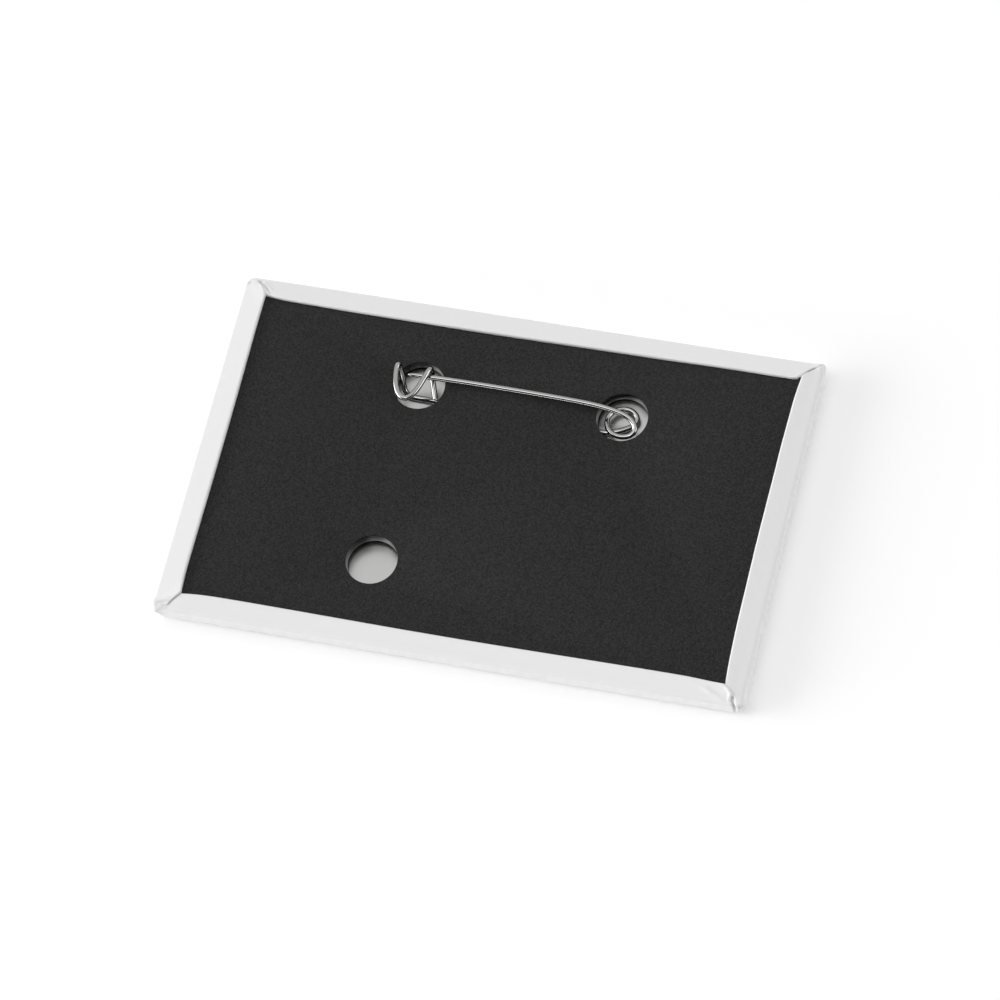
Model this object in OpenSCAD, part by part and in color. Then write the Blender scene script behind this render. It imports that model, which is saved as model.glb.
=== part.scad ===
/* [Badge] */
// Width of the badge, side to side
badge_w = 80; // [70:1:90]
// Height of the badge as it is worn
badge_h = 50; // [44:1:60]
// Corner radius seen from the front
corner_r = 1.4; // [1.2:0.1:2]
// Radius of the edge round the front face
front_edge_r = 1.2; // [1.1:0.1:1.3]
// Radius of the edge where the sides curl in over the back
back_edge_r = 1.0; // [0.9:0.1:1.1]
// Width of the rim left and right of the back plate, seen from behind
side_rim = 3.3; // [2.6:0.1:4]
// Width of the rim above and below the back plate, seen from behind
end_rim = 2.95; // [2.45:0.1:4]

/* [Sheet metal and cover] */
// Thickness of the white cover, paper under clear film
cover_t = 0.22; // [0.15:0.01:0.25]
// Thickness of the tinplate
shell_t = 0.25; // [0.2:0.05:0.3]
// Width of the mitre gap between two flaps of the cover
mitre_gap = 0.15; // [0.1:0.05:0.3]

/* [Back plate] */
// Thickness of the moulded plate
plate_t = 1.6; // [1.6:0.1:1.8]
// How far the plate's edge stays inside the badge's edge
plate_inset = 1.2; // [1.1:0.1:1.4]
// Corner radius of the plate
plate_corner_r = 1.5; // [1:0.1:3]
// Width of the rim that the plate stands on
foot_w = 0.8; // [0.6:0.1:1.5]
// Diameter of the round holes
hole_d = 6.9; // [6.7:0.1:8]
// Distance of the hole centres above and below the middle of the badge
hole_y = 12.95; // [10:0.05:15]
// Hole centre on the catch side, from the middle of the badge
catch_x = -12.75; // [-14:0.05:-12]
// Hole centre on the coil side, from the middle of the badge
coil_x = 15.1; // [14:0.05:16]

/* [Pin] */
// Diameter of the spring wire
wire_d = 0.75; // [0.6:0.05:0.8]
// Height of the needle's centre line over the plate
needle_z = 0.9; // [0.85:0.05:0.95]
// Height of the catch's centre line over the plate
catch_z = 1.85; // [1.85:0.05:2.2]
// Length of the ground tip
tip_len = 3.0; // [2:0.5:5]

/* [Hidden] */
// Clear space between pieces that lie on each other
seat_gap = 0.05;
wrap_gap = 0.03;
// Clear height under the plate, where the wire's arm lies
cavity = 0.8;
// Levels above the front face
shell_in = cover_t + wrap_gap;
floor_in = shell_in + shell_t;
plate_z0 = floor_in + cavity;
plate_z1 = plate_z0 + plate_t;
flange_z = plate_z1 + seat_gap;
badge_t = flange_z + floor_in;
// The wire's arm, measured down from the plate's top face as all the routes are
arm_z = -plate_t - cavity / 2;
open_w = badge_w - 2 * side_rim;
open_h = badge_h - 2 * end_rim;
arc_fn = 64;
// Sides of the swept wire and the largest turn from one ring to the next
wire_sides = 12;
ring_turn = 10;
tip_d = 0.12;
// A cut that goes clear through
over = 1;

// The needle's route from its tip, then one turn down into the coil hole:
// x and y from the hole's centre, height over the plate's top face
needle_route = [
    [-29.5, 0.92, needle_z], [-22, 1.02, needle_z], [-14.5, 0.99, needle_z],
    [-8, 0.88, needle_z], [-4.4, 0.74, needle_z], [-2.6, 0.62, 0.78],
    [-1.2, 0.48, 0.57], [0.1, 0.25, 0.32], [1.2, -0.2, 0.05],
    [1.85, -0.85, -0.18], [2, -1.6, -0.37], [1.55, -2.2, -0.52],
    [0.75, -2.5, -0.64], [-0.2, -2.45, -0.76], [-1.1, -2.05, -0.87],
    [-1.75, -1.35, -0.97], [-2.05, -0.5, -1.06], [-2, 0.4, -1.16],
    [-1.6, 1.1, -1.26]
];
// The fixed half turn of the coil and the arm under the plate, from the same centre
coil_route = [
    [-1.45, 1.25, -1.3], [-0.85, 1.65, -1.39], [0, 1.88, -1.49],
    [0.85, 1.72, -1.6], [1.5, 1.2, -1.72], [1.68, 0.5, -1.84],
    [1.3, -0.12, -1.93], [0.55, -0.66, -1.98], [-0.5, -1.2, arm_z],
    [-2, -1.66, arm_z], [-3.6, -1.74, arm_z], [-12, -1.47, arm_z],
    [-20, -1.21, arm_z], [-26, -1.02, arm_z]
];
// The catch, from the centre of its own hole: up past the hole's edge, back over
// itself, round a low U, across the needle and down behind it
catch_route = [
    [0.6, -0.98, arm_z], [-0.6, -0.96, -1.98], [-1.45, -0.86, -1.85],
    [-2.05, -0.45, -1.45], [-2.28, 0.1, -0.9], [-2.42, 0.6, -0.28],
    [-2.6, 1.05, 0.35], [-2.8, 1.42, 0.95], [-2.98, 1.7, 1.52],
    [-3.1, 1.6, 1.86], [-3.12, 1, catch_z], [-3, 0.1, catch_z],
    [-2.8, -0.8, catch_z], [-2.48, -1.65, catch_z], [-2.05, -2.4, catch_z],
    [-1.5, -2.88, catch_z], [-0.9, -3, catch_z], [-0.4, -2.72, catch_z],
    [0.02, -2.15, catch_z], [0.42, -1.25, catch_z], [0.8, 0, catch_z],
    [1.08, 1.05, catch_z], [1.26, 1.65, 1.72], [1.36, 1.92, 1.3],
    [1.37, 1.9, 0.8], [1.38, 1.65, 0.3], [1.48, 1.3, -0.06],
    [1.64, 0.8, -0.38], [1.88, 0.1, -0.73], [2.12, -0.6, -1],
    [2.32, -1.15, -1.17]
];

// Points of a route moved to its hole
function place(route, x, y) = [for (p = route) [p[0] + x, p[1] + y, p[2] + plate_z1]];

function unit(v) = v / norm(v);

// Tangent of a centripetal spline at q, between p and r
function tangent(p, q, r) =
    let (a = sqrt(norm(q - p)), b = sqrt(norm(r - q)))
    (q - p) / a - (r - p) / (a + b) + (r - q) / b;

// A route with a mirrored point added at each end
function extended(route) =
    let (n = len(route))
    concat([2 * route[0] - route[1]], route, [2 * route[n - 1] - route[n - 2]]);

// Point at t between b and c on the spline through a, b, c, d
function between(a, b, c, d, t) =
    let (
        span = sqrt(norm(c - b)),
        m = tangent(a, b, c) * span,
        n = tangent(b, c, d) * span
    )
    (2 * t^3 - 3 * t^2 + 1) * b + (t^3 - 2 * t^2 + t) * m
    + (3 * t^2 - 2 * t^3) * c + (t^3 - t^2) * n;

// Number of rings for the stretch from b to c, more where it bends
function ring_count(a, b, c, d) =
    let (
        turn = acos(min(1, max(-1, unit(tangent(a, b, c)) * unit(tangent(b, c, d)))))
    )
    max(1, ceil(turn / ring_turn));

// Smooth line through a route
function smooth(route) =
    let (p = extended(route), last = len(p) - 2)
    concat(
        [
            for (i = [1 : last - 1])
            let (n = ring_count(p[i - 1], p[i], p[i + 1], p[i + 2]))
            for (k = [0 : n - 1])
            between(p[i - 1], p[i], p[i + 1], p[i + 2], k / n)
        ],
        [p[last]]
    );

// Direction of a line at each of its points
function directions(line) = [
    for (i = [0 : len(line) - 1])
    unit(line[min(i + 1, len(line) - 1)] - line[max(i - 1, 0)])
];

// One sideways unit vector for each ring, carried along without twisting
function sideways(dirs) = [
    for (
        i = 0, s = unit(cross(dirs[0], [0, 0, 1]));
        i < len(dirs);
        i = i + 1, s = i < len(dirs) ? unit(s - dirs[i] * (s * dirs[i])) : s
    )
    s
];

// A round wire swept along a line, with a diameter for each of its points
module wire(line, diameters) {
    dirs = directions(line);
    side = sideways(dirs);
    rings = len(line);
    points = [
        for (i = [0 : rings - 1])
        for (k = [0 : wire_sides - 1])
        let (a = 360 * k / wire_sides)
        line[i] + diameters[i] / 2 * (cos(a) * side[i] + sin(a) * cross(dirs[i], side[i]))
    ];
    walls = [
        for (i = [0 : rings - 2])
        for (k = [0 : wire_sides - 1])
        let (a = i * wire_sides + k, b = i * wire_sides + (k + 1) % wire_sides)
        [a, a + wire_sides, b + wire_sides, b]
    ];
    start = [for (k = [0 : wire_sides - 1]) k];
    end = [for (k = [wire_sides - 1 : -1 : 0]) (rings - 1) * wire_sides + k];
    polyhedron(points, concat(walls, [start], [end]), convexity = 10);
}

// A rectangle in the plane with round corners
module round_rect(w, h, r) {
    square([w - 2 * r, h], center = true);
    square([w, h - 2 * r], center = true);
    for (x = [-1, 1], y = [-1, 1])
        translate([x * (w / 2 - r), y * (h / 2 - r)])
            circle(r, $fn = arc_fn);
}

// Section through the badge, set in by a wall: width w, front edge below, back edge above
module section(w, inset) {
    half = w / 2 - inset;
    low = front_edge_r - inset;
    high = back_edge_r - inset;
    z0 = inset;
    z1 = badge_t - inset;
    translate([-half, z0 + low])
        square([2 * half, z1 - z0 - low - high]);
    translate([low - half, z0])
        square([2 * (half - low), z1 - z0 - high]);
    translate([high - half, z0 + low])
        square([2 * (half - high), z1 - z0 - low]);
    for (s = [-1, 1]) {
        translate([s * (half - low), z0 + low])
            circle(low, $fn = arc_fn);
        translate([s * (half - high), z1 - high])
            circle(high, $fn = arc_fn);
    }
}

// The whole badge as a solid, set in by a wall
module badge_body(inset) {
    intersection() {
        rotate([90, 0, 0])
            linear_extrude(badge_h + 2 * over, center = true)
                section(badge_w, inset);
        rotate([90, 0, 90])
            linear_extrude(badge_w + 2 * over, center = true)
                section(badge_h, inset);
        translate([0, 0, -over])
            linear_extrude(badge_t + 2 * over)
                round_rect(badge_w - 2 * inset, badge_h - 2 * inset, corner_r - inset);
    }
}

// The opening in the back, widened by a wall, from height z upwards
module back_opening(wall, z) {
    translate([-open_w / 2 - wall, -open_h / 2 - wall, z])
        cube([open_w + 2 * wall, open_h + 2 * wall, badge_t - z + over]);
}

// Gap between two flaps, from the opening's corner out to the badge's corner
module mitre(x, y) {
    angle = atan2(y * end_rim, x * side_rim);
    length = norm([side_rim, end_rim]);
    translate([x * open_w / 2, y * open_h / 2, badge_t - cover_t])
        rotate(angle)
            translate([-mitre_gap, -mitre_gap / 2, -wrap_gap / 2])
                cube([length - corner_r / 2, mitre_gap, cover_t + over]);
}

// White sheet round the front, the sides and the back flanges, its edge turned down
// into the opening
module cover() {
    color("white")
        difference() {
            union() {
                difference() {
                    badge_body(0);
                    badge_body(cover_t);
                }
                difference() {
                    translate([0, 0, flange_z])
                        linear_extrude(badge_t - flange_z - cover_t / 2)
                            square([open_w + 2 * cover_t, open_h + 2 * cover_t], center = true);
                    back_opening(0, flange_z - over);
                }
            }
            back_opening(0, plate_z1);
            for (x = [-1, 1], y = [-1, 1])
                mitre(x, y);
        }
}

// Tinplate tray with its sides curled in over the plate
module front_shell() {
    color("silver")
        difference() {
            badge_body(shell_in);
            badge_body(floor_in);
            back_opening(shell_in, plate_z1);
        }
}

// Moulded plate on a low rim, with the pin's two holes and a spare one
module back_plate() {
    w = badge_w - 2 * plate_inset;
    h = badge_h - 2 * plate_inset;
    color([0.17, 0.17, 0.18])
        difference() {
            translate([0, 0, floor_in + seat_gap])
                linear_extrude(plate_z1 - floor_in - seat_gap)
                    round_rect(w, h, plate_corner_r);
            translate([0, 0, floor_in])
                linear_extrude(cavity)
                    round_rect(w - 2 * foot_w, h - 2 * foot_w, plate_corner_r - foot_w / 2);
            for (p = [[catch_x, hole_y], [coil_x, hole_y], [catch_x, -hole_y]])
                translate([p[0], p[1], floor_in])
                    cylinder(d = hole_d, h = plate_z1, $fn = arc_fn);
        }
}

// Fixed wire: half a turn, the arm between plate and tray, and the catch
module pin_spring() {
    line = smooth(concat(place(coil_route, coil_x, hole_y), place(catch_route, catch_x, hole_y)));
    color("silver")
        wire(line, [for (p = line) wire_d]);
}

// Moving wire: the ground tip, the straight needle and a full turn of the coil
module pin_needle() {
    bent = smooth(place(needle_route, coil_x, hole_y));
    along = unit(bent[1] - bent[0]);
    tip = bent[0];
    line = concat([tip], [for (f = [0.15, 0.5, 1]) tip + along * tip_len * f],
        [for (i = [1 : len(bent) - 1]) if (norm(bent[i] - tip) > tip_len + wire_d) bent[i]]);
    color("silver")
        wire(line, [
            for (i = [0 : len(line) - 1])
            i == 0 ? tip_d : i == 1 ? wire_d * 0.45 : i == 2 ? wire_d * 0.78 : wire_d
        ]);
}

cover();
front_shell();
back_plate();
pin_spring();
pin_needle();
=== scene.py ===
import math

import bmesh
import bpy
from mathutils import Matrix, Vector


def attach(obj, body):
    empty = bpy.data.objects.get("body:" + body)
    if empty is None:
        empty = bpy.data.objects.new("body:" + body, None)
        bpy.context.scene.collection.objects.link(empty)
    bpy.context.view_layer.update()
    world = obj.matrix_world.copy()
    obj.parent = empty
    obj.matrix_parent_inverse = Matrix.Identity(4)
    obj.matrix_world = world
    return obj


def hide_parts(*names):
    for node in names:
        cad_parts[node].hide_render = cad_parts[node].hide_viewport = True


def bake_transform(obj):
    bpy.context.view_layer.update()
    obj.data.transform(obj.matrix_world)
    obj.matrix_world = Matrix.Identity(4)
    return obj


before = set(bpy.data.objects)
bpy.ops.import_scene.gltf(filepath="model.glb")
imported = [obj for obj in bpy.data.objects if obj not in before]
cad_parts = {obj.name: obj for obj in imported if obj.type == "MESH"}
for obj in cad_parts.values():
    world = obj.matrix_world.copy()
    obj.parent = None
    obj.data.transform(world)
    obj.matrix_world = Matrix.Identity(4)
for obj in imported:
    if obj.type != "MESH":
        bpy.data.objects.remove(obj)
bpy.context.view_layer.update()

# Camera
# It looks down at the badge's back from over the lower long side, a little from the right,
# through a long lens.
camera_lens = bpy.data.cameras.new("camera")
camera_lens.lens = 205.288
camera_lens.sensor_width = 36
camera_turn = (25.79754, 8.13231, 13.83784)
camera = bpy.data.objects.new("camera", camera_lens)
camera.location = (0.172356, -0.294950, 0.669668)
camera.rotation_euler = [math.radians(angle) for angle in camera_turn]
bpy.context.scene.collection.objects.link(camera)
bpy.context.scene.camera = camera
bpy.context.scene.view_settings.view_transform = "Standard"


# Floor
# A sheet of matt white card that the badge lies on, wide enough to fill every view.
# A size in mm times this is in metres
MM = 0.001
floor_size = 6
floor_gap = 0.02 * MM


def linear(hex_colour):
    """An sRGB hex colour as linear RGBA."""
    channels = [int(hex_colour[i : i + 2], 16) / 255 for i in (1, 3, 5)]
    return [c / 12.92 if c <= 0.04045 else ((c + 0.055) / 1.055) ** 2.4 for c in channels] + [1]


def new_material(name, **shader_inputs):
    """A material with one Principled shader, whose named inputs get these values."""
    material = bpy.data.materials.new(name)
    material.use_nodes = True
    shader = material.node_tree.nodes["Principled BSDF"]
    for socket, value in shader_inputs.items():
        shader.inputs[socket.replace("_", " ")].default_value = value
    return material, material.node_tree, shader


def add_node(tree, kind, inputs, **settings):
    """Adds a node. Each input takes a value, or a link from another node's output."""
    node = tree.nodes.new(kind)
    for setting, value in settings.items():
        setattr(node, setting, value)
    for socket, value in inputs.items():
        if isinstance(value, bpy.types.NodeSocket):
            tree.links.new(value, node.inputs[socket])
        else:
            node.inputs[socket].default_value = value
    return node


bpy.ops.object.select_all(action="DESELECT")
bpy.ops.mesh.primitive_plane_add(size=floor_size, location=(0, 0, -floor_gap))
floor = bpy.context.object
floor.name = "floor"
bpy.ops.object.transform_apply(location=True)
# Uncoated card scatters light evenly and shows no gloss. It lies on a lit table, and the light
# that comes through it keeps the shadows pale.
card, _, _ = new_material(
    "uncoated card",
    Base_Color=linear("#FAFAFA"),
    Roughness=0.9,
    Specular_IOR_Level=0.1,
    Emission_Color=linear("#FFFFFF"),
    Emission_Strength=0.1,
)
floor.data.materials.append(card)


# Studio light
# A light tent: even soft light all round, a broad bright wall low on the left that throws the
# soft shadow to the right, dark gaps in front, where the camera looks in, and a small light
# low in front that draws a thin bright line along the wire's lower side.
room = bpy.data.worlds.new("light tent")
room.use_nodes = True
bpy.context.scene.world = room
room_tree = room.node_tree
direction = add_node(room_tree, "ShaderNodeTexCoord", {})


def glow(azimuth, elevation, reach, strength, rest):
    """Light that fades out round a direction, added to the rest. Angles are in degrees, and
    azimuth 0 is the right. A gap has a negative strength."""
    flat, up = math.radians(azimuth), math.radians(elevation)
    middle = (math.cos(up) * math.cos(flat), math.cos(up) * math.sin(flat), math.sin(up))
    nearness = add_node(
        room_tree,
        "ShaderNodeVectorMath",
        {0: direction.outputs["Generated"], 1: middle},
        operation="DOT_PRODUCT",
    )
    faded = add_node(
        room_tree,
        "ShaderNodeMapRange",
        {
            "Value": nearness.outputs["Value"],
            "From Min": math.cos(math.radians(reach)),
            "From Max": 1.0,
            "To Min": 0.0,
            "To Max": strength,
        },
        interpolation_type="SMOOTHSTEP",
    )
    total = add_node(
        room_tree, "ShaderNodeMath", {0: rest, 1: faded.outputs["Result"]}, operation="ADD"
    )
    return total.outputs[0]


even_light = 0.525
dark_cloth = 0.02
top_light = glow(97, 90, 110, 0.34, even_light)
left_wall = glow(194, 9, 29, 7.0, top_light)
left_front = glow(219, -1, 24, 5.8, left_wall)
right_top = glow(5, 26, 25, 2.2, left_front)
front_top = glow(236, 59, 33, 2.0, right_top)
lens_gap = glow(310, 36, 30, -15, front_top)
front_gap = glow(245, 36, 31, -16, lens_gap)
right_gap = glow(3, 48, 14, -5.5, front_gap)
soft_light = add_node(
    room_tree, "ShaderNodeMath", {0: right_gap, 1: dark_cloth}, operation="MAXIMUM"
)
low_front = glow(254, -1, 9, 4.8, soft_light.outputs[0])
tent = room_tree.nodes["Background"]
tent.inputs["Color"].default_value = linear("#FFFFFF")
room_tree.links.new(low_front, tent.inputs["Strength"])


# Front shell
# A shallow tray of thin tinplate, pressed from one sheet. Its sides stand up round the back
# plate and are curled in over it as flanges, so only its bright floor shows in the holes.
badge_w = 80 * MM
badge_h = 50 * MM
corner_r = 1.4 * MM
front_edge_r = 1.2 * MM
back_edge_r = 0.5 * MM
# Width of the flaps at the left and right, and at the top and bottom
side_rim = 3.3 * MM
end_rim = 2.95 * MM
back_z = 3.45 * MM
# The flaps lean up towards the opening, where their edges are rolled down
flap_tilt = math.radians(7)
roll_r = 0.25 * MM
shell_t = 0.25 * MM
shell_in = 0.25 * MM
# The flanges end this far short of the opening, hidden by the cover
flange_short = 0.6 * MM
corner_steps = 24
# Stretch of each side next to a corner that is cut finely
fine_length = 5.5 * MM
fine_slack = 0.1 * MM
# Places nearer to each other than this are the same
same = 1e-7


def pick(piece):
    """Selects one object and makes it the active one."""
    bpy.ops.object.select_all(action="DESELECT")
    piece.select_set(True)
    bpy.context.view_layer.objects.active = piece


def only_select(bm, chosen):
    """Selects these edges or faces of a mesh in edit mode and nothing else."""
    for part in (*bm.verts, *bm.edges, *bm.faces):
        part.select = False
    for part in chosen:
        part.select_set(True)
    bmesh.update_edit_mesh(bpy.context.object.data)


def outline_face(name, inset, z, fine_cuts, middle_cuts):
    """The badge's outline as one face in edit mode, its sides cut finely near the corners."""
    half_w, half_h = badge_w / 2 - inset, badge_h / 2 - inset
    bpy.ops.object.select_all(action="DESELECT")
    bpy.ops.mesh.primitive_plane_add(size=2, location=(0, 0, z))
    sheet = bpy.context.object
    sheet.name = name
    sheet.data.name = name
    bpy.ops.transform.resize(value=(half_w, half_h, 1))
    bpy.ops.object.transform_apply()
    bpy.ops.object.mode_set(mode="EDIT")
    bpy.ops.mesh.select_all(action="SELECT")
    bpy.ops.mesh.bevel(
        offset=corner_r - inset, offset_type="OFFSET", segments=corner_steps, affect="VERTICES"
    )
    # Two cuts across each side part the stretches near the corners from the middle
    for axis, half in ((0, half_w), (1, half_h)):
        for side in (-1, 1):
            bpy.ops.mesh.select_all(action="SELECT")
            spot, normal = [0, 0, 0], [0, 0, 0]
            spot[axis] = side * (half - corner_r - fine_length)
            normal[axis] = 1
            bpy.ops.mesh.bisect(plane_co=spot, plane_no=normal)
    bm = bmesh.from_edit_mesh(sheet.data)
    bpy.ops.mesh.select_mode(type="EDGE")
    only_select(bm, [e for e in bm.edges if len(e.link_faces) == 2])
    bpy.ops.mesh.dissolve_edges(use_verts=False)
    bm = bmesh.from_edit_mesh(sheet.data)
    fine = [e for e in bm.edges if abs(e.calc_length() - fine_length) < fine_slack]
    only_select(bm, fine)
    bpy.ops.mesh.subdivide(number_cuts=fine_cuts)
    bm = bmesh.from_edit_mesh(sheet.data)
    only_select(bm, [e for e in bm.edges if e.calc_length() > 2 * fine_length])
    bpy.ops.mesh.subdivide(number_cuts=middle_cuts)
    bpy.ops.mesh.select_mode(type="FACE")
    return sheet


def arc(centre, radius, start, end, steps):
    """Rows (distance in from the outline, height) along an arc. Angle 0 points out, 90 up."""
    angles = [math.radians(start + (end - start) * i / steps) for i in range(1, steps + 1)]
    return [(centre[0] - radius * math.cos(a), centre[1] + radius * math.sin(a)) for a in angles]


def half_size(inset):
    """Half the width and height of the flaps' rectangle at a distance in from the outline."""
    share = max((inset - corner_r) / (side_rim - corner_r), 0)
    return badge_w / 2 - inset, badge_h / 2 - corner_r - (end_rim - corner_r) * share


def follow(rows, inset, z, upward=True):
    """Takes the selected face in along the rows: with round corners until their arcs close,
    and then as a rectangle that shrinks to the opening."""
    way = 1 if upward else -1
    for row_inset, row_z in rows:
        if row_inset <= corner_r + same:
            bpy.ops.mesh.inset(thickness=row_inset - inset, depth=(row_z - z) * way)
        else:
            old, new = half_size(inset), half_size(row_inset)
            bpy.ops.mesh.extrude_region_move(TRANSFORM_OT_translate={"value": (0, 0, row_z - z)})
            size = (new[0] / old[0], new[1] / old[1], 1)
            bpy.ops.transform.resize(value=size, center_override=(0, 0, row_z))
        inset, z = row_inset, row_z


# The round back edge starts at this height, at the top of the sides
edge_turn = math.pi / 2 - flap_tilt
flap_run = side_rim - back_edge_r * (1 - math.cos(edge_turn))
shoulder_z = back_z - back_edge_r * math.sin(edge_turn)
shoulder_z -= (flap_run - roll_r) * math.tan(flap_tilt)


def flap_rows(inset, opening, steps):
    """Rows of a flap set in by a distance, from the round back edge to near the opening."""
    rows = arc(
        (back_edge_r, shoulder_z), back_edge_r - inset, 0, math.degrees(edge_turn), steps=10
    )
    start_d, start_z = rows[-1]
    spots = [start_d + (opening - start_d) * i / steps for i in range(1, steps + 1)]
    # One row lies where the corner arcs close
    nearest = min(range(steps), key=lambda i: abs(spots[i] - corner_r))
    spots[nearest] = corner_r
    return rows + [(d, start_z + (d - start_d) * math.tan(flap_tilt)) for d in spots]


def wrapped_tray(name, inset, back_rows, fine_cuts, middle_cuts):
    """A tray of the badge's form, set in by a distance: front, round edge, side and flaps."""
    low_z = front_edge_r
    sheet = outline_face(name, inset, low_z, fine_cuts, middle_cuts)
    bpy.ops.mesh.select_all(action="SELECT")
    bpy.ops.mesh.extrude_region_move(
        TRANSFORM_OT_translate={"value": (0, 0, shoulder_z - low_z)}
    )
    follow(back_rows, inset, shoulder_z)
    bpy.ops.mesh.delete(type="FACE")
    # The face that the sides stand on becomes the front, with a round edge
    bm = bmesh.from_edit_mesh(sheet.data)
    only_select(bm, [f for f in bm.faces if all(abs(v.co.z - low_z) < same for v in f.verts)])
    bpy.ops.mesh.normals_make_consistent(inside=False)
    front_rows = arc((front_edge_r, low_z), front_edge_r - inset, 0, -90, steps=8)
    follow(front_rows, inset, low_z, upward=False)
    bpy.ops.mesh.select_all(action="SELECT")
    bpy.ops.mesh.remove_doubles(threshold=0.002 * MM)
    bpy.ops.mesh.normals_make_consistent(inside=False)
    bpy.ops.object.mode_set(mode="OBJECT")
    return sheet


def thicken(sheet, thickness):
    """Gives a sheet its thickness, from its outer face inwards."""
    pick(sheet)
    bpy.ops.object.modifier_add(type="SOLIDIFY")
    wall = sheet.modifiers["Solidify"]
    wall.thickness = thickness
    wall.offset = -1
    bpy.ops.object.modifier_apply(modifier="Solidify")


tray_rows = flap_rows(shell_in, side_rim - flange_short, steps=8)
tray = wrapped_tray("tinplate_tray", shell_in, tray_rows, fine_cuts=12, middle_cuts=8)
thicken(tray, shell_t)
# The back edge is bent so tightly that the inner faces of its bend close to a line
bpy.ops.object.mode_set(mode="EDIT")
bpy.ops.mesh.select_all(action="SELECT")
bpy.ops.mesh.remove_doubles(threshold=0.02 * MM)
bpy.ops.object.mode_set(mode="OBJECT")
bpy.ops.object.shade_smooth_by_angle(angle=math.radians(35))

# Tinplate is a satin metal, rolled in one direction, with faint lengthwise lines
tin, tin_tree, tin_shader = new_material(
    "tinplate", Base_Color=linear("#CACAC9"), Metallic=1.0, Roughness=0.3
)
tin_place = add_node(tin_tree, "ShaderNodeTexCoord", {})
line_length = 6 * MM
line_gap = 0.12 * MM
tin_stretch = add_node(
    tin_tree,
    "ShaderNodeMapping",
    {
        "Vector": tin_place.outputs["Object"],
        "Scale": (1 / line_length, 1 / line_gap, 1 / line_length),
    },
)
tin_lines = add_node(
    tin_tree,
    "ShaderNodeTexNoise",
    {"Vector": tin_stretch.outputs[0], "Scale": 1.0, "Detail": 2.0},
)
tin_bump = add_node(
    tin_tree,
    "ShaderNodeBump",
    {"Height": tin_lines.outputs["Fac"], "Strength": 0.25, "Distance": 0.004 * MM},
)
tin_tree.links.new(tin_bump.outputs[0], tin_shader.inputs["Normal"])
tray.data.materials.append(tin)
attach(tray, "badge")
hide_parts("front_shell")


# Cover
# White paper under clear film, laid over the tray's front and wrapped round its sides. Four
# flaps are folded in over the flanges and tucked down into the opening; at the corners they
# meet in mitres, where the spare sheet is crumpled in.
cover_t = 0.22 * MM
lip_z = 2.95 * MM
cover_rows = flap_rows(0, side_rim - roll_r, steps=18)
# From here on, the flap's edge is rolled over, and then its lip goes straight down
roll_centre = (cover_rows[-1][0], cover_rows[-1][1] - roll_r)
cover_rows += arc(roll_centre, roll_r, 84, 180, steps=6)
lip_top = cover_rows[-1][1]
cover_rows += [(side_rim, lip_top + (lip_z - lip_top) * share) for share in (0.5, 1)]
cover = wrapped_tray("cover_sheet", 0, cover_rows, fine_cuts=54, middle_cuts=16)

# Corners, all in mm and as distances in from the badge's own edges: first from the left or
# right edge, then from the top or bottom edge. Side -1 is left and end -1 is bottom.
# Each seam between two flaps runs from the opening out to the corner. With side_over, the
# flap at the side lies this much over the flap at the end, or under it if negative.
seams = (
    # side, end, side_over, points
    (-1, 1, 0.08, ((3.37, 2.72), (3.05, 2.09), (2.64, 1.46), (2.21, 0.92), (1.78, 0.61))),
    (1, 1, 0, ((3.0, 2.63), (2.37, 1.81), (1.7, 1.19), (1.0, 0.75))),
    (-1, -1, 0.1, ((3.57, 2.79), (3.32, 2.42), (2.96, 1.99), (2.64, 1.64), (2.19, 0.9))),
    (1, -1, -0.08, ((2.98, 2.79), (2.74, 2.62), (2.22, 2.35), (1.8, 1.93), (1.43, 1.5))),
)
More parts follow.
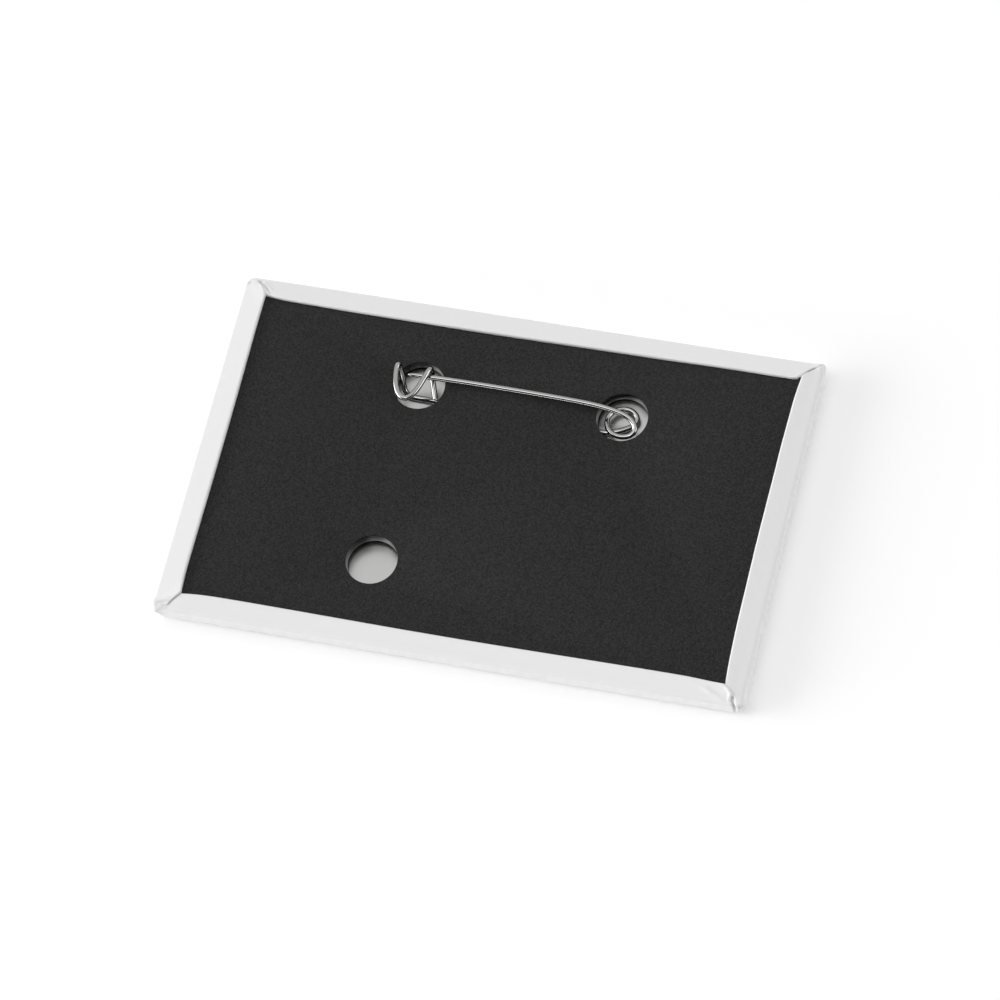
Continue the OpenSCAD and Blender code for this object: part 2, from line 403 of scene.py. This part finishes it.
# Folds and dents that were pressed into the spare sheet. Height is up if positive.
folds = (
    # side, end, height, half width, points
    (-1, 1, -0.05, 0.09, ((3.3, 2.65), (3.05, 2.09), (2.64, 1.46), (2.21, 0.92), (1.78, 0.61))),
    (-1, 1, -0.09, 0.13, ((2.3, 0.8), (2.96, 1.33), (3.6, 1.9), (3.9, 2.2))),
    (-1, 1, 0.09, 0.16, ((2.72, 0.68), (3.37, 1.27), (3.91, 1.71))),
    (-1, 1, 0.06, 0.16, ((2.77, 1.67), (3.33, 2.19), (3.76, 2.5))),
    (-1, 1, -0.1, 0.16, ((2.04, 0.9), (2.2, 0.6))),
    (-1, 1, -0.12, 0.2, ((0.57, 1.12), (0.75, 0.95))),
    (1, 1, -0.4, 0.09, ((3.1, 2.7), (2.69, 2.18), (2.37, 1.81), (2.04, 1.5), (1.7, 1.19),
                        (1.36, 0.9))),
    (1, 1, -0.18, 0.08, ((1.36, 0.9), (1.0, 0.66), (0.65, 0.45))),
    (1, 1, 0.5, 0.5, ((0.35, 0.5), (0.5, 0.35))),
    (-1, -1, -0.13, 0.1, ((3.5, 2.7), (3.32, 2.42), (2.96, 1.99), (2.64, 1.64), (2.34, 1.22))),
    (-1, -1, -0.09, 0.12, ((2.21, 1.42), (1.5, 1.26), (0.89, 0.96))),
    (-1, -1, 0.08, 0.2, ((2.0, 1.75), (1.4, 1.6), (0.9, 1.4))),
    (-1, -1, -0.06, 0.14, ((2.34, 1.22), (2.3, 0.7), (2.12, 0.23))),
    (-1, -1, 0.5, 0.45, ((0.05, 1.0), (0.3, 0.5), (0.7, 0.2))),
    (-1, -1, -0.12, 0.12, ((0.1, 0.62), (0.4, 0.7))),
    (-1, -1, -0.1, 0.14, ((0.75, 0.72), (0.85, 0.5))),
    (-1, -1, 0.1, 0.25, ((1.4, 0.5), (1.2, 0.9))),
    (1, -1, -0.09, 0.1, ((2.9, 2.7), (2.22, 2.35), (1.8, 1.93), (1.43, 1.5))),
    (1, -1, 0.09, 0.14, ((2.6, 2.2), (2.1, 1.8), (1.75, 1.3))),
    (1, -1, -0.32, 0.16, ((1.5, 1.15), (1.42, 0.58), (1.2, 0.2), (0.95, 0))),
    (1, -1, 0.05, 0.2, ((1.05, 1.2), (0.9, 0.7))),
    (1, -1, 0.08, 0.18, ((2.0, 1.35), (1.9, 0.7))),
    (1, -1, -0.14, 0.14, ((0.57, 0.31), (0.44, 0.1))),
    (1, -1, -0.12, 0.12, ((0.1, 0.5), (0.3, 0.45))),
    (1, -1, 0.05, 0.3, ((5.0, 1.78), (3.76, 1.01), (2.66, 0.4))),
    (1, -1, 0.45, 0.4, ((0.5, 0.2), (0.2, 0.7))),
    (1, -1, 0.04, 0.25, ((5.82, 1.92), (4.62, 1.28))),
)
# The folded edges round the opening are not quite straight: place along the edge from the
# middle, and how far the edge lies out from its straight line there
edge_waves = {
    # (axis across the edge, its side): (place, shift), ...
    (1, 1): ((-36, 0.1), (-22, -0.07), (-5, -0.12), (15, 0.01), (30, 0.17), (33.8, 0.12),
             (35, 0.05), (36.2, -0.17), (36.7, 0.13)),
    (1, -1): ((-36, 0.04), (-31, -0.07), (0, 0.12), (31, -0.07), (36, 0.06)),
    (0, -1): ((-22, -0.02), (0, -0.1), (22, 0)),
    (0, 1): ((-22, 0.27), (-12, 0.05), (-2, 0), (10, 0.09), (22, 0.3)),
}
half_w_mm, half_h_mm = badge_w / MM / 2, badge_h / MM / 2
corner_mm, side_mm, end_mm = corner_r / MM, side_rim / MM, end_rim / MM
edge_mm, shoulder_mm = back_edge_r / MM, shoulder_z / MM
flap_start = edge_mm * (1 - math.sin(flap_tilt))
flap_start_z = shoulder_mm + edge_mm * math.cos(flap_tilt)
# The sheet is shaped above this height, and at a corner as far from both edges as this
shaped_z = front_edge_r / MM + 0.3
corner_reach = 9
# How far from the mitre the sheet goes along with its seam, and one flap lies over the other
seam_reach = 4
over_reach = 1.1
# Points nearer to the mitre than this belong to both flaps, and rows nearer than this are one
on_mitre = 0.02
on_row = 0.001
# A point is on a flap from this far in from the outline, and this far over the side's top
flap_in = 0.05
flap_over = 0.01
# How far in from the outline each of these starts, and where it has its full strength
seam_fade = (0.2, corner_mm)
free_fade = (corner_mm, corner_mm + 0.8)
over_fade = (0.8, 1.6)
height_fade = (0.2, 0.6)
wave_fade = (1.2, 3.0)
lean_fade = (0, 0.8)
# Folds fade out down the sides between these heights
fold_fade = (1.6, 2.4)
# Painted shade for each mm that a fold is deep, and the most that it gets
painted_shade_per_mm = 2.2
most_painted_shade = 0.9
# The folds that belong to each seam's corner
corners = [
    (side, end, side_over, seam, [fold[2:] for fold in folds if fold[:2] == (side, end)])
    for side, end, side_over, seam in seams
]


def ease(value, low, high):
    """0 below low, 1 above high, and smooth between them."""
    t = min(max((value - low) / (high - low), 0), 1)
    return t * t * (3 - 2 * t)


def along(points, share):
    """The place at a share of a broken line's points."""
    spot = min(max(share, 0), 1) * (len(points) - 1)
    i = min(int(spot), len(points) - 2)
    return [a + (b - a) * (spot - i) for a, b in zip(points[i], points[i + 1])]


def distance(x, y, points):
    """Distance from a place to a broken line."""
    best = math.inf
    for (ax, ay), (bx, by) in zip(points, points[1:]):
        ex, ey = bx - ax, by - ay
        t = min(max(((x - ax) * ex + (y - ay) * ey) / (ex * ex + ey * ey), 0), 1)
        best = min(best, math.hypot(x - ax - t * ex, y - ay - t * ey))
    return best


def end_depth(y):
    """A distance in from the top or bottom edge, as the one of the same row from the side."""
    if y < corner_mm:
        return y
    return corner_mm + (y - corner_mm) * (side_mm - corner_mm) / (end_mm - corner_mm)


def round_depth(x, y):
    """Distance in from the outline with its round corners."""
    if x < corner_mm and y < corner_mm:
        return corner_mm - math.hypot(corner_mm - x, corner_mm - y)
    return min(x, end_depth(y))


def flap_height(depth):
    """Height of the cover's face at a distance in from the outline."""
    if depth < flap_start:
        reach = min(max(edge_mm - depth, 0), edge_mm)
        return shoulder_mm + math.sqrt(edge_mm**2 - reach**2)
    return flap_start_z + (depth - flap_start) * math.tan(flap_tilt)


def wave_edge(place):
    """Moves a point along with the wave of the folded edge that its flap ends in."""
    depths = (half_w_mm - abs(place.x), half_h_mm - abs(place.y))
    depth = round_depth(*depths)
    for (axis, side), waves in edge_waves.items():
        own = depths[0] if axis == 0 else end_depth(depths[1])
        if place[axis] * side < 0 or own > depth + on_row:
            continue
        spot = place[1 - axis]
        i = max(k for k in range(len(waves) - 1) if k == 0 or waves[k][0] <= spot)
        (a, low), (b, high) = waves[i], waves[i + 1]
        shift = low + (high - low) * ease(spot, a, b)
        place[axis] += side * shift * ease(depth, *wave_fade)


def settle_corner(x, y, z, side_over, seam):
    """Where a point of the cover near a corner goes as its flaps are laid to the seam."""
    depth = round_depth(x, y)
    flap_side = end_depth(y) - x
    # The mitre is straight from the opening to where the corner's arc closes, then diagonal
    share = max(depth - corner_mm, 0) / (side_mm - corner_mm)
    straight_x = max(depth, corner_mm)
    straight_y = corner_mm + (end_mm - corner_mm) * share
    diagonal = max(corner_mm - depth, 0) * math.sqrt(0.5)
    far = math.hypot(x - (straight_x - diagonal), y - (straight_y - diagonal))
    seam_x, seam_y = along(seam, 1 - share)
    weight = max(0, 1 - far / seam_reach) ** 2 * ease(depth, *seam_fade)
    x += (seam_x - straight_x) * weight
    y += (seam_y - straight_y) * weight
    # On the flaps, the height follows from the new place
    if depth > flap_in and z > shoulder_mm + flap_over:
        if flap_side > on_mitre:
            own, over = x, side_over
        elif flap_side < -on_mitre:
            own, over = end_depth(y), -side_over
        else:
            own, over = round_depth(x, y), -abs(side_over)
        free = ease(depth, *free_fade)
        target = flap_height(own) * free + flap_height(round_depth(x, y)) * (1 - free)
        target += over * math.exp(-((far / over_reach) ** 2)) * ease(depth, *over_fade)
        z += (target - flap_height(depth)) * ease(depth, *height_fade)
    return x, y, z


def press_folds(x, y, z, corner_folds):
    """Where a point goes as the folds are pressed in, and how much painted shade they give it."""
    height, shade = 0, 0
    strength = ease(z, *fold_fade)
    for rise, half_width, points in corner_folds:
        press = math.exp(-((distance(x, y, points) / half_width) ** 2)) * strength
        height += rise * press
        # Folds that go down get painted shade, more the deeper they are
        if rise < 0:
            shade += min(-rise * painted_shade_per_mm, most_painted_shade) * press
    # Pressed in along the face's own direction, up on the flaps and out on the sides
    lean = ease(round_depth(max(x, 0), max(y, 0)), *lean_fade)
    if x < corner_mm and y < corner_mm:
        inwards = Vector((corner_mm - x, corner_mm - y)).normalized()
    elif x < y:
        inwards = Vector((1, 0))
    else:
        inwards = Vector((0, 1))
    x -= inwards.x * height * (1 - lean)
    y -= inwards.y * height * (1 - lean)
    return x, y, z + height * lean, shade


# Painted shade for each point of the sheet, from the folds that go down
painted_fold_shade = cover.data.attributes.new("fold", "FLOAT", "POINT")
for vertex, painted_shade_slot in zip(cover.data.vertices, painted_fold_shade.data):
    place = vertex.co / MM
    if place.z >= shaped_z:
        wave_edge(place)
        for side, end, side_over, seam, corner_folds in corners:
            x, y = half_w_mm - place.x * side, half_h_mm - place.y * end
            if x <= corner_reach and y <= corner_reach:
                x, y, z = settle_corner(x, y, place.z, side_over, seam)
                x, y, z, painted_shade_slot.value = press_folds(x, y, z, corner_folds)
                place = Vector((side * (half_w_mm - x), end * (half_h_mm - y), z))
    vertex.co = place * MM

thicken(cover, cover_t)
bpy.ops.object.shade_smooth_by_angle(angle=math.radians(40))

# Paper under polyester film is white with a soft gloss over it
film, film_tree, film_shader = new_material(
    "paper under clear film", Roughness=0.5, Coat_Weight=0.3, Coat_Roughness=0.25
)
# Deep folds get painted shade: the paper is painted grey along them, darker the deeper they go
painted_fold_shade_node = add_node(film_tree, "ShaderNodeAttribute", {}, attribute_name="fold")
# E8E8E8 is the paper, and #8C8C8C is the grey of the painted shade in the folds
film_colour = add_node(
    film_tree,
    "ShaderNodeMix",
    {0: painted_fold_shade_node.outputs["Fac"], 6: linear("#E8E8E8"), 7: linear("#8C8C8C")},
    data_type="RGBA",
)
film_tree.links.new(film_colour.outputs[2], film_shader.inputs["Base Color"])
# Waves where the sheet was rubbed down by the press
wave_size = 1.6 * MM
film_place = add_node(film_tree, "ShaderNodeTexCoord", {})
film_waves = add_node(
    film_tree,
    "ShaderNodeTexNoise",
    {"Vector": film_place.outputs["Object"], "Scale": 1 / wave_size, "Detail": 2.0},
)
wave_bump = add_node(
    film_tree,
    "ShaderNodeBump",
    {"Height": film_waves.outputs["Fac"], "Strength": 0.5, "Distance": 0.08 * MM},
)
film_tree.links.new(wave_bump.outputs[0], film_shader.inputs["Normal"])
cover.data.materials.append(film)
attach(cover, "badge")
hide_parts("cover")


# Back plate
# A black plate, injection moulded in one with three round holes, on a low rim under its edge.
# Its back has a fine matt grain from the mould; the walls of the holes are smooth.
plate_inset = 1.2 * MM
plate_corner_r = 1.8 * MM
# Heights of its face, of the foot of its rim and of its sunk underside
plate_top = 2.9 * MM
plate_low = 0.55 * MM
plate_under = 1.3 * MM
foot_w = 0.8 * MM
chamfer_w = 1.6 * MM
chamfer_h = 0.25 * MM
hole_r = 3.45 * MM
hole_edge_r = 0.1 * MM
hole_y = 12.95 * MM
catch_x = -12.75 * MM
coil_x = 15.1 * MM
holes = ((catch_x, hole_y), (coil_x, hole_y), (catch_x, -hole_y))
drill_length = 4 * MM
slack = 0.01 * MM

bpy.ops.object.select_all(action="DESELECT")
bpy.ops.mesh.primitive_cube_add(size=1)
plate = bpy.context.object
plate.name = "moulded_plate"
plate.data.name = "moulded_plate"
plate_size = (badge_w - 2 * plate_inset, badge_h - 2 * plate_inset, plate_top - plate_low)
bpy.ops.transform.resize(value=plate_size)
bpy.ops.transform.translate(value=(0, 0, (plate_top + plate_low) / 2))
bpy.ops.object.transform_apply()
bpy.ops.object.mode_set(mode="EDIT")
bpy.ops.mesh.select_mode(type="EDGE")
bm = bmesh.from_edit_mesh(plate.data)
upright = [e for e in bm.edges if abs(e.verts[0].co.z - e.verts[1].co.z) > slack]
only_select(bm, upright)
bpy.ops.mesh.bevel(offset=plate_corner_r, segments=10, affect="EDGES")
# The underside is sunk in, which leaves the low rim
bpy.ops.mesh.select_mode(type="FACE")
bm = bmesh.from_edit_mesh(plate.data)
only_select(bm, [f for f in bm.faces if f.normal.z < -0.9])
bpy.ops.mesh.inset(thickness=foot_w, depth=0)
bpy.ops.mesh.inset(thickness=0, depth=-(plate_under - plate_low))
# A wide chamfer makes room for the flanges that lie over the plate's edge
bm = bmesh.from_edit_mesh(plate.data)
only_select(bm, [f for f in bm.faces if f.normal.z > 0.9])
bpy.ops.mesh.inset(thickness=chamfer_w, depth=0)
bpy.ops.mesh.select_mode(type="EDGE")
bm = bmesh.from_edit_mesh(plate.data)
edge = [e for e in bm.edges if {round(f.normal.z) for f in e.link_faces} == {0, 1}]
only_select(bm, edge)
bpy.ops.transform.translate(value=(0, 0, -chamfer_h))
bpy.ops.object.mode_set(mode="OBJECT")

for x, y in holes:
    bpy.ops.object.select_all(action="DESELECT")
    bpy.ops.mesh.primitive_cylinder_add(
        vertices=96, radius=hole_r, depth=drill_length, location=(x, y, drill_length / 2)
    )
    drill = bpy.context.object
    pick(plate)
    bpy.ops.object.modifier_add(type="BOOLEAN")
    plate.modifiers["Boolean"].operation = "DIFFERENCE"
    plate.modifiers["Boolean"].object = drill
    plate.modifiers["Boolean"].solver = "EXACT"
    bpy.ops.object.modifier_apply(modifier="Boolean")
    bpy.data.objects.remove(drill)


def in_a_hole(place):
    """Whether a place lies in one of the holes or on its wall."""
    return any(math.hypot(place[0] - x, place[1] - y) < hole_r + slack for x, y in holes)


bpy.ops.object.mode_set(mode="EDIT")
bpy.ops.mesh.select_mode(type="EDGE")
bm = bmesh.from_edit_mesh(plate.data)
rims = [
    e for e in bm.edges
    if all(v.co.z > plate_top - slack and in_a_hole(v.co) for v in e.verts)
]
only_select(bm, rims)
bpy.ops.mesh.bevel(offset=hole_edge_r, segments=3, affect="EDGES")
bpy.ops.object.mode_set(mode="OBJECT")
bpy.ops.object.shade_smooth_by_angle(angle=math.radians(30))

# Moulded polystyrene with a sparked back is matt, and its grain breaks the light up into a
# fine speckle. The grains are drawn 0.2 mm wide, coarse enough to show.
black, black_tree, black_shader = new_material(
    "moulded black plastic, matt grain", Roughness=0.75, Specular_IOR_Level=0.12
)
grain_size = 0.2 * MM
black_place = add_node(black_tree, "ShaderNodeTexCoord", {})
grain = add_node(
    black_tree,
    "ShaderNodeTexNoise",
    {"Vector": black_place.outputs["Object"], "Scale": 1 / grain_size, "Detail": 1.0},
)
speckle = add_node(
    black_tree,
    "ShaderNodeMapRange",
    {"Value": grain.outputs["Fac"], "From Min": 0.3, "From Max": 0.7},
)
speckled = add_node(
    black_tree,
    "ShaderNodeMix",
    {0: speckle.outputs["Result"], 6: linear("#202020"), 7: linear("#343434")},
    data_type="RGBA",
)
black_tree.links.new(speckled.outputs[2], black_shader.inputs["Base Color"])
grain_bump = add_node(
    black_tree,
    "ShaderNodeBump",
    {"Height": grain.outputs["Fac"], "Strength": 0.6, "Distance": 0.02 * MM},
)
black_tree.links.new(grain_bump.outputs[0], black_shader.inputs["Normal"])
# The same plastic off a polished core pin, smooth and shiny
smooth_black, _, _ = new_material(
    "moulded black plastic, smooth",
    Base_Color=linear("#111111"),
    Roughness=0.15,
    Specular_IOR_Level=0.8,
)
plate.data.materials.append(black)
plate.data.materials.append(smooth_black)
for face in plate.data.polygons:
    if abs(face.normal.z) < 0.5 and in_a_hole(face.center):
        face.material_index = 1
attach(plate, "badge")
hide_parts("back_plate")


# Pin
# One piece of nickel-plated spring wire: the ground needle, a coil of a turn and a half, an
# arm that lies between plate and tray, and the catch. It is split where it starts to bend.
wire_r = 0.375 * MM
# Heights in mm over the plate's top face
needle_z = 0.9
catch_z = 1.85
arm_z = -2.0
# The wire is split at these points of its route
needle_end = (-4.4, 0.74, needle_z)
arm_start = (-3.6, -1.74, arm_z)

# Routes in mm: x and y from the hole's centre, height over the plate's top face
needle_route = [
    (-29.5, 0.92, needle_z), (-22, 1.02, needle_z), (-14.5, 0.99, needle_z),
    (-8, 0.88, needle_z), needle_end, (-2.6, 0.62, 0.78),
    (-1.2, 0.48, 0.57), (0.1, 0.25, 0.32), (1.2, -0.2, 0.05),
    (1.85, -0.85, -0.18), (2, -1.6, -0.37), (1.55, -2.2, -0.52),
    (0.75, -2.5, -0.64), (-0.2, -2.45, -0.76), (-1.1, -2.05, -0.87),
    (-1.75, -1.35, -0.97), (-2.05, -0.5, -1.06), (-2, 0.4, -1.16),
    (-1.6, 1.1, -1.26),
]
coil_route = [
    (-0.85, 1.65, -1.39), (0, 1.88, -1.49),
    (0.85, 1.72, -1.6), (1.5, 1.2, -1.72), (1.68, 0.5, -1.84),
    (1.3, -0.12, -1.93), (0.55, -0.66, -1.98), (-0.5, -1.2, arm_z),
    (-2, -1.66, arm_z), arm_start, (-12, -1.47, arm_z),
    (-20, -1.21, arm_z), (-26, -1.02, arm_z),
]
catch_route = [
    (0.6, -0.98, arm_z), (-0.6, -0.96, -1.98), (-1.45, -0.86, -1.85),
    (-2.05, -0.45, -1.45), (-2.28, 0.1, -0.9), (-2.42, 0.6, -0.28),
    (-2.6, 1.05, 0.35), (-2.8, 1.42, 0.95), (-2.98, 1.7, 1.52),
    (-3.1, 1.6, 1.86), (-3.12, 1, catch_z), (-3, 0.1, catch_z),
    (-2.8, -0.8, catch_z), (-2.48, -1.65, catch_z), (-2.05, -2.4, catch_z),
    (-1.5, -2.88, catch_z), (-0.9, -3, catch_z), (-0.4, -2.72, catch_z),
    (0.02, -2.15, catch_z), (0.42, -1.25, catch_z), (0.8, 0, catch_z),
    (1.08, 1.05, catch_z), (1.26, 1.65, 1.72), (1.36, 1.92, 1.3),
    (1.37, 1.9, 0.8), (1.38, 1.65, 0.3), (1.48, 1.3, -0.06),
    (1.64, 0.8, -0.38), (1.88, 0.1, -0.73), (2.12, -0.6, -1),
    (2.32, -1.15, -1.17),
]


def smooth_line(points, steps):
    """A smooth line through points, a centripetal spline, with this many steps for each."""
    ends = [points[0] * 2 - points[1]] + points + [points[-1] * 2 - points[-2]]
    root = [math.sqrt((b - a).length) for a, b in zip(ends, ends[1:])]
    slope = [
        (q - p) / a - (r - p) / (a + b) + (r - q) / b
        for p, q, r, a, b in zip(ends, ends[1:], ends[2:], root, root[1:])
    ]
    line = []
    for i, (b, c) in enumerate(zip(points, points[1:])):
        m, n = slope[i] * root[i + 1], slope[i + 1] * root[i + 1]
        for k in range(steps):
            t = k / steps
            line.append(
                (2 * t**3 - 3 * t**2 + 1) * b + (t**3 - 2 * t**2 + t) * m
                + (3 * t**2 - 2 * t**3) * c + (t**3 - t**2) * n
            )
    return line + [points[-1]]


def placed(route, x, y):
    """Points of a route moved to its hole, in metres."""
    return [Vector((p[0] * MM + x, p[1] * MM + y, p[2] * MM + plate_top)) for p in route]


def wire_piece(name, line, thickness):
    """Round wire along a line, as a closed mesh. Thickness gives the share of full at a point."""
    data = bpy.data.curves.new(name, "CURVE")
    data.dimensions = "3D"
    data.bevel_depth = wire_r
    data.bevel_resolution = 10
    data.use_fill_caps = True
    spline = data.splines.new("POLY")
    spline.points.add(len(line) - 1)
    for spot, place in zip(spline.points, line):
        spot.co = (*place, 1)
        spot.radius = thickness(place)
    piece = bpy.data.objects.new(name, data)
    bpy.context.scene.collection.objects.link(piece)
    pick(piece)
    bpy.ops.object.convert(target="MESH")
    piece = bpy.context.object
    bpy.ops.object.mode_set(mode="EDIT")
    bpy.ops.mesh.select_all(action="SELECT")
    bpy.ops.mesh.remove_doubles(threshold=0.001 * MM)
    bpy.ops.mesh.normals_make_consistent(inside=False)
    bpy.ops.object.mode_set(mode="OBJECT")
    bpy.ops.object.shade_smooth_by_angle(angle=math.radians(50))
    return piece


route = placed(needle_route + coil_route, coil_x, hole_y) + placed(catch_route, catch_x, hole_y)
line_steps = 10
whole_line = smooth_line(route, line_steps)
coil_first = needle_route.index(needle_end) * line_steps
coil_last = (len(needle_route) + coil_route.index(arm_start)) * line_steps
tip = whole_line[0]
tip_length = 3 * MM
tip_steps = 12
# The route takes over this far behind the ground stretch
tip_gap = 0.1 * MM
# Thickness of the very tip as a share of full, how fast it swells, and how it levels off
tip_share = 0.16
tip_swell = 1.24
tip_level = 0.32


def ground(place):
    """Share of the full thickness: the needle is ground to a point over its last stretch."""
    run = (place - tip).length / tip_length
    if run >= 1:
        return 1
    return min(1, tip_share + tip_swell * math.sqrt(run) * (1 - tip_level * run))


toward_coil = (whole_line[line_steps] - tip).normalized()
needle_line = [tip + toward_coil * tip_length * i / tip_steps for i in range(tip_steps)]
needle_line += [
    p for p in whole_line[: coil_first + 1] if (p - tip).length > tip_length + tip_gap
]
needle = wire_piece("needle_wire", needle_line, ground)
coil = wire_piece("coil_wire", whole_line[coil_first : coil_last + 1], lambda place: 1)
catch = wire_piece("catch_wire", whole_line[coil_last:], lambda place: 1)

# Nickel plate is a bright grey metal; drawing leaves faint lines along the wire
nickel, nickel_tree, nickel_shader = new_material(
    "nickel-plated spring wire", Base_Color=linear("#AEAEAD"), Metallic=1.0, Roughness=0.06
)
# The map runs once round the wire and once along a piece, which is about 30 mm
drawn_gap = 0.08 * MM
drawn_length = 4 * MM
around = 2 * math.pi * wire_r / drawn_gap
lengthwise = 30 * MM / drawn_length
wire_place = add_node(nickel_tree, "ShaderNodeUVMap", {}, uv_map="UVMap")
drawn = add_node(
    nickel_tree,
    "ShaderNodeMapping",
    {"Vector": wire_place.outputs["UV"], "Scale": (around, lengthwise, 1)},
)
drawn_lines = add_node(
    nickel_tree, "ShaderNodeTexNoise", {"Vector": drawn.outputs[0], "Scale": 1.0, "Detail": 1.0}
)
drawn_bump = add_node(
    nickel_tree,
    "ShaderNodeBump",
    {"Height": drawn_lines.outputs["Fac"], "Strength": 0.12, "Distance": 0.02 * MM},
)
nickel_tree.links.new(drawn_bump.outputs[0], nickel_shader.inputs["Normal"])
for piece in (needle, coil, catch):
    piece.data.materials.append(nickel)
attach(needle, "needle")
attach(catch, "badge")
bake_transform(coil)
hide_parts("pin_needle")
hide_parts("pin_spring")
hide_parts("pin_spring", "pin_needle")
